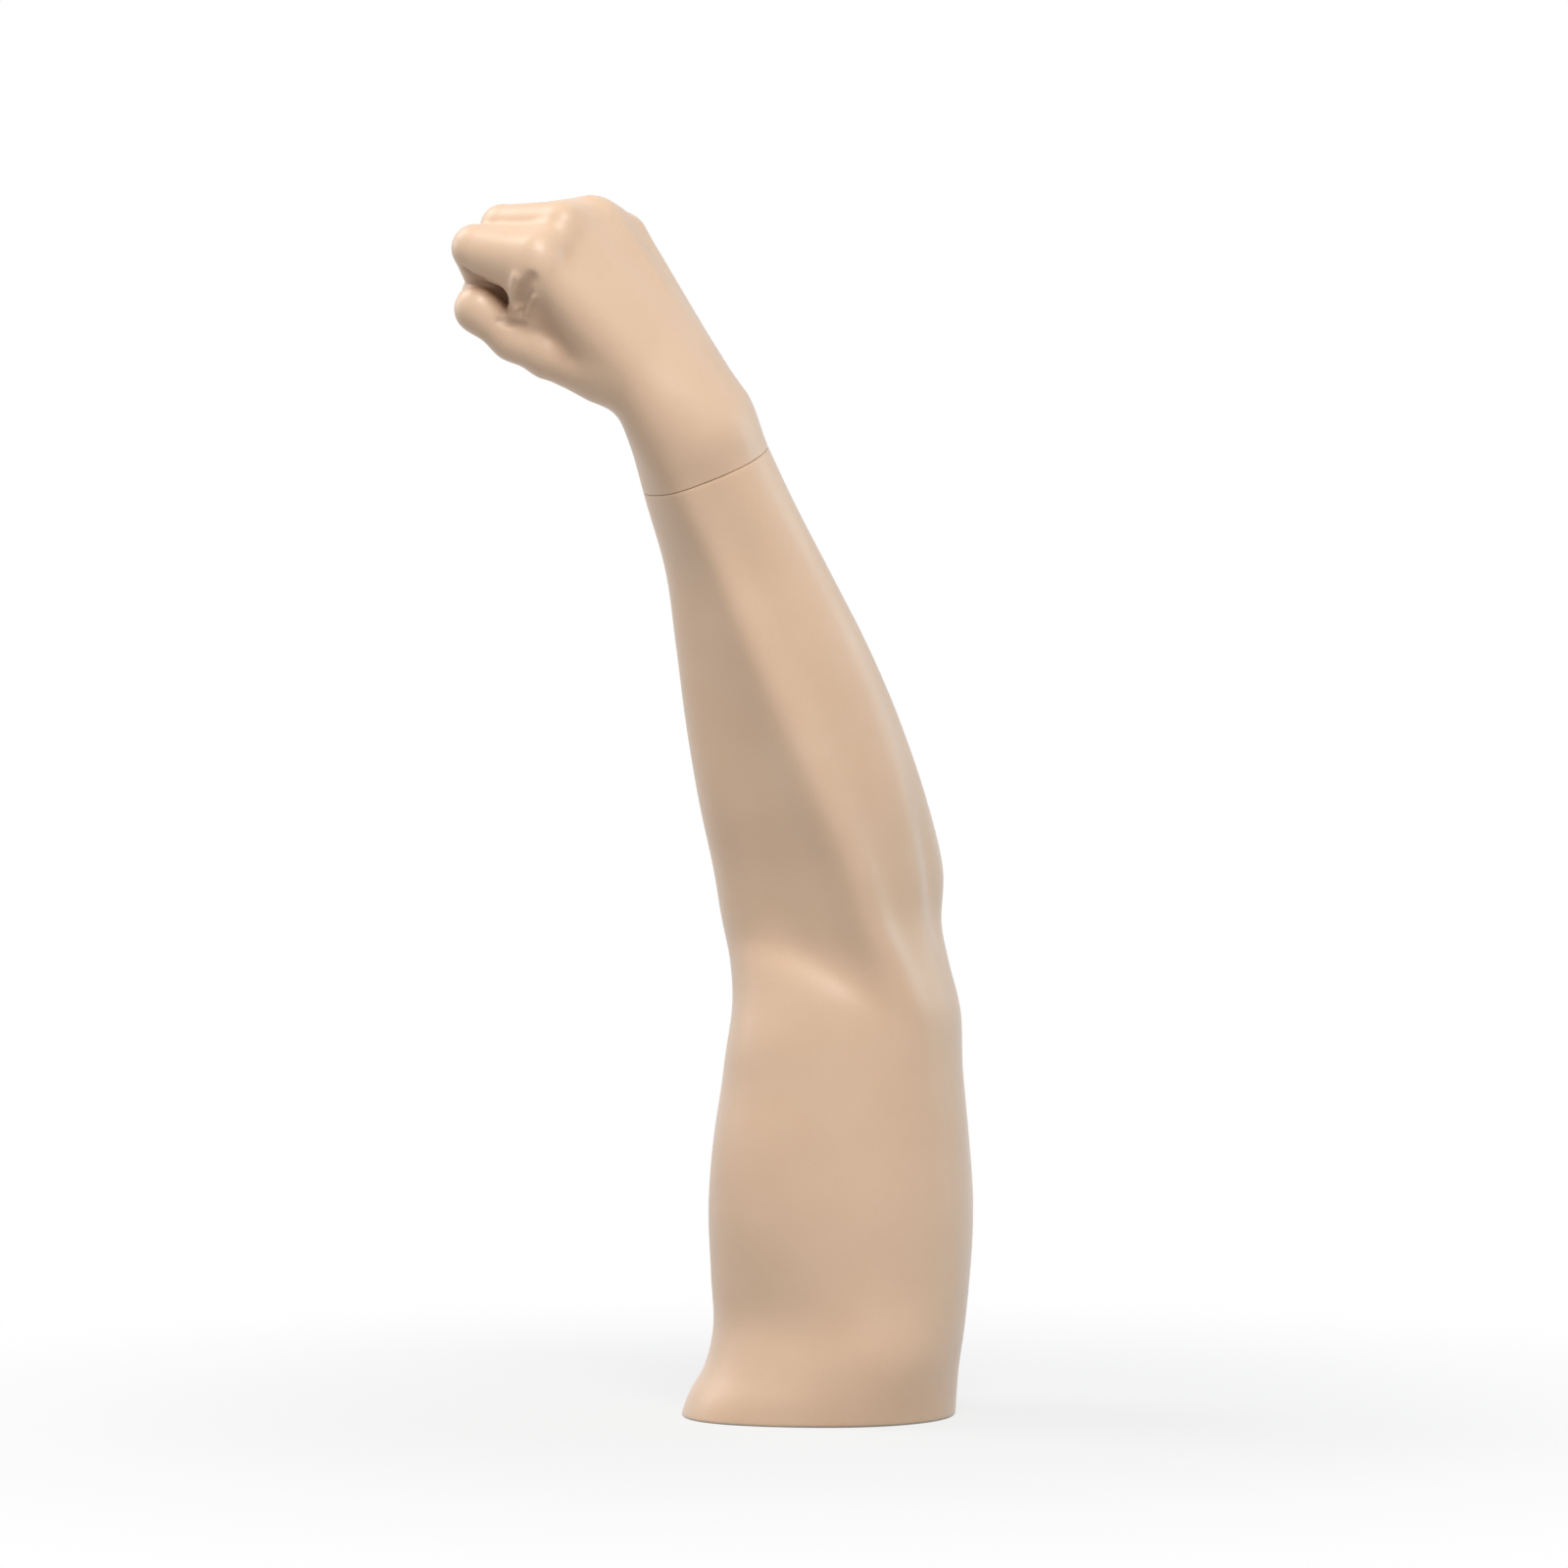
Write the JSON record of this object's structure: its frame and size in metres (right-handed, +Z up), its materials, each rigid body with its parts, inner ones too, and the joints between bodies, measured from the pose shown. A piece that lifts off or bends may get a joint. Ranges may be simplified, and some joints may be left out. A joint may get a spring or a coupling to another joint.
{
  "type": "arm display stand",
  "caption": "Life-size raised arm display form with a clenched fist that turns and lifts off at a friction wrist, standing on its weighted flat upper-arm end.",
  "frame": {"origin": "middle of the flat resting face at the upper-arm end", "axes": "+Z up along the arm, +X to the viewer's right in the picture, -Y towards the viewer"},
  "size_m": [0.2189, 0.1678, 0.5165],
  "materials": {
    "skin_paint": "satin peach-beige paint on a moulded shell",
    "plywood": "bare plywood",
    "ballast_iron": "dark turned iron",
    "bush_brass": "turned",
    "zinc_steel": "bright zinc plate"
  },
  "bodies": {
    "arm": {"arm_shell": "skin_paint", "base_board": "plywood", "cleat_1": "plywood", "cleat_2": "plywood", "cleat_3": "plywood", "cleat_4": "plywood", "base_screw_1": "zinc_steel", "base_screw_2": "zinc_steel", "base_screw_3": "zinc_steel", "base_screw_4": "zinc_steel", "ballast": "ballast_iron", "ballast_screw_1": "zinc_steel", "ballast_screw_2": "zinc_steel", "ballast_screw_3": "zinc_steel", "wrist_plug": "plywood", "wrist_bush": "bush_brass", "bush_screw_1": "zinc_steel", "bush_screw_2": "zinc_steel", "bush_screw_3": "zinc_steel"},
    "wrist_swivel": {"wrist_spigot": "zinc_steel", "swivel_washer": "zinc_steel", "swivel_nut": "zinc_steel"},
    "hand": {"hand_shell": "skin_paint", "hand_block": "plywood", "socket_plate": "zinc_steel", "plate_screw_1": "zinc_steel", "plate_screw_2": "zinc_steel", "plate_screw_3": "zinc_steel", "plate_screw_4": "zinc_steel", "magnet": "zinc_steel"}
  },
  "joints": [
    {"name": "hand_twist", "type": "hinge", "parent": "arm", "child": "wrist_swivel", "pos_m": [-0.0474, -0.0605, 0.4035], "axis": [-0.349, -0.23, 0.9085], "continuous": true},
    {"name": "hand_pull", "type": "slide", "parent": "wrist_swivel", "child": "hand", "axis": [-0.349, -0.23, 0.9085], "range_m": [0, 0.06]}
  ]
}
